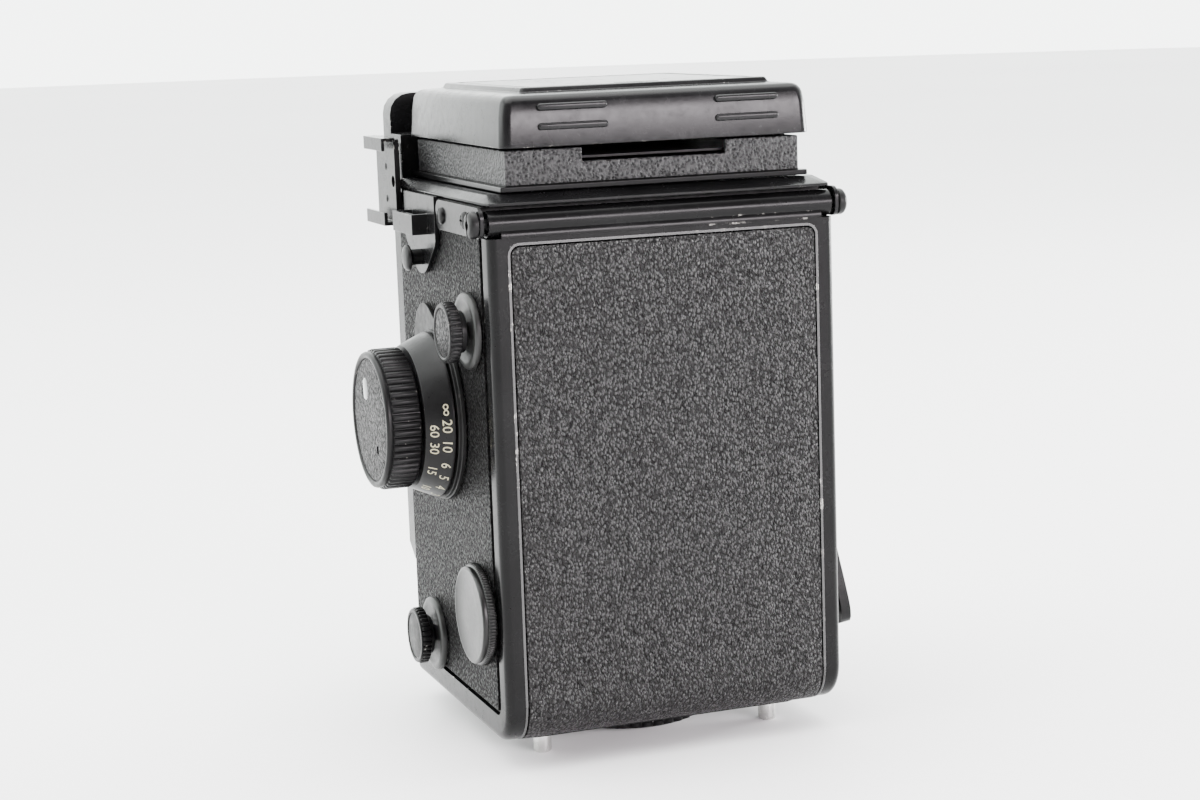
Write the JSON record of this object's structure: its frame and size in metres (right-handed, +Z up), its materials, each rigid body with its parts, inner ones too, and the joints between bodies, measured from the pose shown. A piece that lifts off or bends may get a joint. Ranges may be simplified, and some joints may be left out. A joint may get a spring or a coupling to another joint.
{
  "type": "twin lens reflex camera",
  "caption": "Box-shaped roll film camera with a viewing lens above a taking lens, folding waist-level hood, side focusing knob, winding crank and hinged back.",
  "frame": {"origin": "middle of the object's bounding box, on the plane that the four feet stand on; the tripod socket's axis is at x = -2.2 mm, y = 17 mm", "axes": "+X towards the focusing knob side, +Y towards the hinged back, +Z up; the lenses look along -Y"},
  "size_m": [0.1107, 0.1022, 0.148],
  "materials": {
    "casting": "matte",
    "black_enamel": "gloss",
    "hood_sheet": "gloss",
    "door_enamel": "gloss",
    "leatherette": "matte",
    "lens_mount": "satin",
    "lens_glass": "gloss",
    "mirror_glass": "polished",
    "bright_steel": "satin",
    "satin_alloy": "satin",
    "gear_brass": "satin",
    "spool_plastic": "matte",
    "dial_ivory": "matte"
  },
  "bodies": {
    "body": {"body_shell": "casting", "left_leatherette": "leatherette", "right_leatherette": "leatherette", "top_cap": "black_enamel", "meter_housing": "black_enamel", "meter_scale_window": "lens_glass", "viewing_mirror": "mirror_glass", "focusing_screen": "lens_glass", "hood_frame": "black_enamel", "accessory_shoe": "bright_steel", "left_hinge_plate": "black_enamel", "right_hinge_plate": "black_enamel", "left_strap_lug": "black_enamel", "right_strap_lug": "black_enamel", "hinge_pin": "bright_steel", "focus_index_plate": "black_enamel", "takeup_escutcheon": "satin_alloy", "supply_escutcheon": "satin_alloy", "battery_cell": "bright_steel", "counter_cover": "black_enamel", "sync_socket": "bright_steel"},
    "focus": {"focus_shaft": "bright_steel", "distance_scale": "black_enamel", "focus_knob": "black_enamel"},
    "lens_panel": {"lens_board": "black_enamel", "viewing_lens_barrel": "lens_mount", "viewing_lens_glass": "lens_glass", "taking_lens_barrel": "lens_mount", "taking_lens_glass": "lens_glass"},
    "aperture": {"aperture_wheel": "lens_mount"},
    "speed": {"speed_wheel": "lens_mount"},
    "self_timer": {"self_timer_lever": "bright_steel"},
    "release": {"release_button": "bright_steel"},
    "takeup_pull": {"takeup_knob": "satin_alloy"},
    "supply_pull": {"supply_knob": "satin_alloy"},
    "battery_lid": {"battery_cover": "satin_alloy"},
    "door": {"back_door": "door_enamel", "back_leatherette": "leatherette", "base_plate": "bright_steel", "tripod_socket": "bright_steel"},
    "pressure": {"pressure_plate": "bright_steel"},
    "lock": {"lock_ring": "satin_alloy"},
    "bolt": {"latch_bolt": "bright_steel"},
    "lid": {"hood_lid": "hood_sheet", "magnifier_frame": "hood_sheet", "magnifier_lens": "lens_glass"},
    "flap_left": {"left_flap": "hood_sheet"},
    "flap_right": {"right_flap": "hood_sheet"},
    "flap_rear": {"rear_flap": "hood_sheet"},
    "crank": {"crank_hub": "bright_steel"},
    "arm": {"crank_arm": "bright_steel"},
    "grip": {"crank_grip": "bright_steel"},
    "idler": {"idler_gear": "gear_brass"},
    "takeup_reel": {"takeup_drive": "gear_brass", "takeup_spool": "spool_plastic"},
    "supply_reel": {"supply_spool": "spool_plastic"},
    "roller_upper": {"upper_roller": "bright_steel"},
    "roller_lower": {"lower_roller": "bright_steel"},
    "counter": {"counter_disc": "dial_ivory"},
    "needle": {"meter_needle": "dial_ivory"}
  },
  "joints": [
    {"name": "focus_turn", "type": "hinge", "parent": "body", "child": "focus", "pos_m": [0.0428, 0.012, 0.0745], "axis": [1, 0, 0], "range_deg": [0, 290]},
    {"name": "lens_panel_slide", "type": "slide", "parent": "body", "child": "lens_panel", "axis": [0, -1, 0], "range_m": [0, 0.007]},
    {"name": "aperture_turn", "type": "hinge", "parent": "lens_panel", "child": "aperture", "pos_m": [0.0253, -0.033, 0.0715], "axis": [0, -1, 0], "range_deg": [-55, 55]},
    {"name": "speed_turn", "type": "hinge", "parent": "lens_panel", "child": "speed", "pos_m": [-0.0297, -0.033, 0.0715], "axis": [0, -1, 0], "range_deg": [-75, 75]},
    {"name": "self_timer_set", "type": "hinge", "parent": "lens_panel", "child": "self_timer", "pos_m": [-0.0022, -0.0338, 0.05], "axis": [0, -1, 0], "range_deg": [0, 70]},
    {"name": "release_press", "type": "slide", "parent": "body", "child": "release", "axis": [0, 1, 0], "range_m": [0, 0.003], "stiffness_N_per_m": 300, "springref_m": -0.002},
    {"name": "takeup_knob_pull", "type": "slide", "parent": "body", "child": "takeup_pull", "axis": [1, 0, 0], "range_m": [0, 0.008], "stiffness_N_per_m": 200, "springref_m": -0.003},
    {"name": "supply_knob_pull", "type": "slide", "parent": "body", "child": "supply_pull", "axis": [1, 0, 0], "range_m": [0, 0.008], "stiffness_N_per_m": 200, "springref_m": -0.003},
    {"name": "battery_cover_lift", "type": "slide", "parent": "body", "child": "battery_lid", "axis": [1, 0, 0], "range_m": [0, 0.012]},
    {"name": "door_swing", "type": "hinge", "parent": "body", "child": "door", "pos_m": [-0.0022, 0.048, 0.12], "axis": [1, 0, 0], "range_deg": [0, 98]},
    {"name": "pressure_plate_spring", "type": "slide", "parent": "door", "child": "pressure", "axis": [0, 1, 0], "range_m": [0, 0.0015], "stiffness_N_per_m": 500, "springref_m": -0.001},
    {"name": "lock_turn", "type": "hinge", "parent": "door", "child": "lock", "pos_m": [-0.0022, 0.017, 0.003], "axis": [0, 0, -1], "range_deg": [0, 90]},
    {"name": "bolt_slide", "type": "slide", "parent": "door", "child": "bolt", "axis": [0, -1, 0], "range_m": [0, 0.00301]},
    {"name": "lid_open", "type": "hinge", "parent": "body", "child": "lid", "pos_m": [-0.0022, -0.0206, 0.1405], "axis": [1, 0, 0], "range_deg": [0, 95]},
    {"name": "left_flap_rise", "type": "hinge", "parent": "body", "child": "flap_left", "pos_m": [0.03, 0.017, 0.1303], "axis": [0, 1, 0], "range_deg": [0, 90.5]},
    {"name": "right_flap_rise", "type": "hinge", "parent": "body", "child": "flap_right", "pos_m": [-0.0344, 0.017, 0.1303], "axis": [0, -1, 0], "range_deg": [0, 90.5]},
    {"name": "rear_flap_rise", "type": "hinge", "parent": "body", "child": "flap_rear", "pos_m": [-0.0022, 0.0438, 0.1328], "axis": [-1, 0, 0], "range_deg": [0, 90.5]},
    {"name": "crank_turn", "type": "hinge", "parent": "body", "child": "crank", "pos_m": [-0.0442, 0.019, 0.062], "axis": [-1, 0, 0], "range_deg": [0, 260]},
    {"name": "crank_unfold", "type": "hinge", "parent": "crank", "child": "arm", "pos_m": [-0.0474, 0.019, 0.062], "axis": [0, 0.9876, 0.1571], "range_deg": [0, 160]},
    {"name": "grip_spin", "type": "hinge", "parent": "arm", "child": "grip", "pos_m": [-0.04889, 0.02535, 0.02208], "axis": [0.989, 0.0232, -0.146], "continuous": true},
    {"name": "idler_spin", "type": "hinge", "parent": "body", "child": "idler", "pos_m": [-0.0379, 0.02593, 0.08341], "axis": [-1, 0, 0], "range_deg": [-300, 0]},
    {"name": "takeup_spin", "type": "hinge", "parent": "body", "child": "takeup_reel", "pos_m": [-0.0379, 0.037, 0.0963], "axis": [-1, 0, 0], "range_deg": [0, 482]},
    {"name": "supply_spin", "type": "hinge", "parent": "body", "child": "supply_reel", "pos_m": [-0.0022, 0, 0.0203], "axis": [1, 0, 0], "continuous": true},
    {"name": "upper_roller_spin", "type": "hinge", "parent": "body", "child": "roller_upper", "pos_m": [-0.0022, 0.0414, 0.0834], "axis": [1, 0, 0], "continuous": true},
    {"name": "lower_roller_spin", "type": "hinge", "parent": "body", "child": "roller_lower", "pos_m": [-0.0022, 0.0414, 0.017], "axis": [1, 0, 0], "continuous": true},
    {"name": "counter_step", "type": "hinge", "parent": "body", "child": "counter", "pos_m": [-0.0404, -0.005, 0.092], "axis": [-1, 0, 0], "range_deg": [0, 28]},
    {"name": "needle_swing", "type": "hinge", "parent": "body", "child": "needle", "pos_m": [-0.0022, -0.0273, 0.1316], "axis": [0, 0, 1], "range_deg": [-7, 7]}
  ],
  "couplings": [
    {"joint": "focus_turn", "follows": "lens_panel_slide", "rad_per_m": 723},
    {"joint": "bolt_slide", "follows": "lock_turn", "m_per_rad": 0.0019099},
    {"joint": "left_flap_rise", "follows": "lid_open", "ratio": 0.94737},
    {"joint": "right_flap_rise", "follows": "lid_open", "ratio": 0.94737},
    {"joint": "rear_flap_rise", "follows": "lid_open", "ratio": 0.94737},
    {"joint": "idler_spin", "follows": "crank_turn", "ratio": -1.1429},
    {"joint": "takeup_spin", "follows": "crank_turn", "ratio": 1.8462},
    {"joint": "counter_step", "follows": "crank_turn", "ratio": 0.106}
  ]
}
